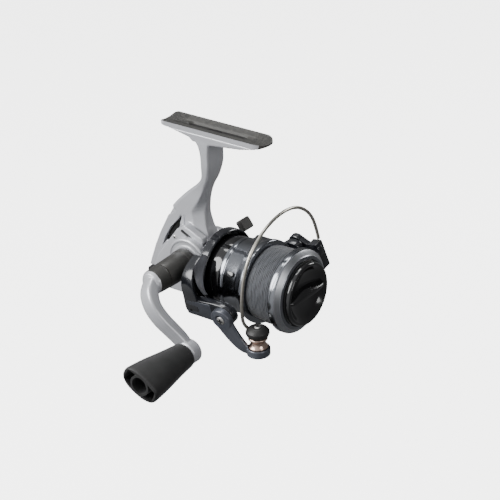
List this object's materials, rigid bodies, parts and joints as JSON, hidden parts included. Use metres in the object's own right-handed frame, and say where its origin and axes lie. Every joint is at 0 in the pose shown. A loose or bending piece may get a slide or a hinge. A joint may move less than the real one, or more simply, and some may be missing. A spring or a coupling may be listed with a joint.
{
  "type": "spinning reel",
  "caption": "Open-face fishing reel on a stem: folding handle, geared rotor with a swinging bail and line roller, and a line-filled spool that strokes and slips under a front drag knob.",
  "frame": {"origin": "centre of the rod seat, in the plane of its upper edges", "axes": "+Z out of the rod seat, toward the rod; +X forward along the spool's axis; +Y left, away from the handle"},
  "size_m": [0.1004, 0.1196, 0.1092],
  "materials": {
    "body_frame": "satin silver-grey paint",
    "side_cover": "satin silver-grey paint",
    "cover_screws": "machined, bright",
    "tail_cap": "gloss black",
    "tail_screw": "machined, bright",
    "window_inlays": "gloss black",
    "near_gear_bearing": "ground",
    "far_gear_bearing": "ground",
    "pinion_bearing": "ground",
    "clutch_ring": "ground",
    "clutch_rollers": "ground",
    "clutch_plate": "ground",
    "clutch_screws": "machined, bright",
    "guide_rod": "polished",
    "drive_gear": "die cast",
    "handle_collar": "dark satin grey",
    "handle_bolt": "polished",
    "bolt_cap": "gloss black",
    "hinge_pin": "polished",
    "handle_arm": "satin silver-grey paint",
    "knob_post": "polished",
    "post_screw": "machined, bright",
    "knob": "matte black",
    "knob_bushes": "moulded",
    "swing_gear": "die cast",
    "main_shaft": "polished",
    "shaft_slider": "moulded",
    "slider_screw": "machined, bright",
    "spool_seat": "polished",
    "spool": "dark polished anodised",
    "skirt_ring": "gloss black",
    "spool_line": "braided, cross wound",
    "spool_bearing": "ground",
    "line_clip": "gloss black",
    "drag_washers": "felt and steel",
    "washer_ring": "polished",
    "drag_knob": "gloss black",
    "drag_nut": "machined",
    "knob_seal": "soft seal",
    "rotor": "gloss black-grey",
    "pinion_gear": "machined",
    "clutch_sleeve": "ground",
    "rotor_nut": "machined",
    "arm_covers": "dark grey",
    "bail_arm": "dark grey metallic",
    "bail_holder": "dark grey metallic",
    "bail_wire": "nickel plated",
    "bail_screws": "machined, bright",
    "roller_post": "polished",
    "roller_cap": "matte black",
    "roller_screw": "machined, bright",
    "line_roller": "bronze toned, polished"
  },
  "bodies": {
    "frame": {"body_frame": "body_frame", "side_cover": "side_cover", "cover_screws": "cover_screws", "tail_cap": "tail_cap", "tail_screw": "tail_screw", "window_inlays": "window_inlays", "near_gear_bearing": "near_gear_bearing", "far_gear_bearing": "far_gear_bearing", "pinion_bearing": "pinion_bearing", "clutch_ring": "clutch_ring", "clutch_rollers": "clutch_rollers", "clutch_plate": "clutch_plate", "clutch_screws": "clutch_screws", "guide_rod": "guide_rod"},
    "handle_drive": {"drive_gear": "drive_gear", "handle_collar": "handle_collar", "handle_bolt": "handle_bolt", "bolt_cap": "bolt_cap", "hinge_pin": "hinge_pin"},
    "crank": {"handle_arm": "handle_arm", "knob_post": "knob_post", "post_screw": "post_screw"},
    "grip": {"knob": "knob", "knob_bushes": "knob_bushes"},
    "swing": {"swing_gear": "swing_gear"},
    "shaft": {"main_shaft": "main_shaft", "shaft_slider": "shaft_slider", "slider_screw": "slider_screw", "spool_seat": "spool_seat"},
    "spool_body": {"spool": "spool", "skirt_ring": "skirt_ring", "spool_line": "spool_line", "spool_bearing": "spool_bearing", "line_clip": "line_clip", "drag_washers": "drag_washers", "washer_ring": "washer_ring"},
    "drag": {"drag_knob": "drag_knob", "drag_nut": "drag_nut", "knob_seal": "knob_seal"},
    "rotor_body": {"rotor": "rotor", "pinion_gear": "pinion_gear", "clutch_sleeve": "clutch_sleeve", "rotor_nut": "rotor_nut", "arm_covers": "arm_covers"},
    "bail": {"bail_arm": "bail_arm", "bail_holder": "bail_holder", "bail_wire": "bail_wire", "bail_screws": "bail_screws", "roller_post": "roller_post", "roller_cap": "roller_cap", "roller_screw": "roller_screw"},
    "roller": {"line_roller": "line_roller"}
  },
  "joints": [
    {"name": "handle_turn", "type": "hinge", "parent": "frame", "child": "handle_drive", "pos_m": [-0.01425, 0, -0.0705], "axis": [0, 1, 0], "continuous": true},
    {"name": "rotor_turn", "type": "hinge", "parent": "frame", "child": "rotor_body", "pos_m": [0, 0, -0.077], "axis": [1, 0, 0], "continuous": true},
    {"name": "swing_turn", "type": "hinge", "parent": "frame", "child": "swing", "pos_m": [-0.02385, 0, -0.0777], "axis": [0, 1, 0], "continuous": true},
    {"name": "spool_stroke", "type": "slide", "parent": "frame", "child": "shaft", "axis": [1, 0, 0], "range_m": [-0.002, 0.008]},
    {"name": "spool_slip", "type": "hinge", "parent": "shaft", "child": "spool_body", "pos_m": [0.03, 0, -0.077], "axis": [1, 0, 0], "continuous": true},
    {"name": "drag_knob_turn", "type": "hinge", "parent": "shaft", "child": "drag", "pos_m": [0.047, 0, -0.077], "axis": [1, 0, 0], "range_deg": [-540, 540]},
    {"name": "bail_open", "type": "hinge", "parent": "rotor_body", "child": "bail", "pos_m": [0.0215, 0, -0.077], "axis": [0, 0.9736, 0.2284], "range_deg": [0, 95]},
    {"name": "line_roller_spin", "type": "hinge", "parent": "bail", "child": "roller", "pos_m": [0.0375, -0.02476, -0.09626], "axis": [0, 0, 1], "continuous": true},
    {"name": "handle_fold", "type": "hinge", "parent": "handle_drive", "child": "crank", "pos_m": [-0.01425, -0.036, -0.0705], "axis": [0.8037, 0, 0.595], "range_deg": [0, 25]},
    {"name": "knob_spin", "type": "hinge", "parent": "crank", "child": "grip", "pos_m": [0.00855, -0.06, -0.1013], "axis": [0, 1, 0], "continuous": true}
  ],
  "couplings": [
    {"joint": "rotor_turn", "follows": "handle_turn", "ratio": 4.25},
    {"joint": "swing_turn", "follows": "handle_turn", "ratio": -0.5}
  ]
}
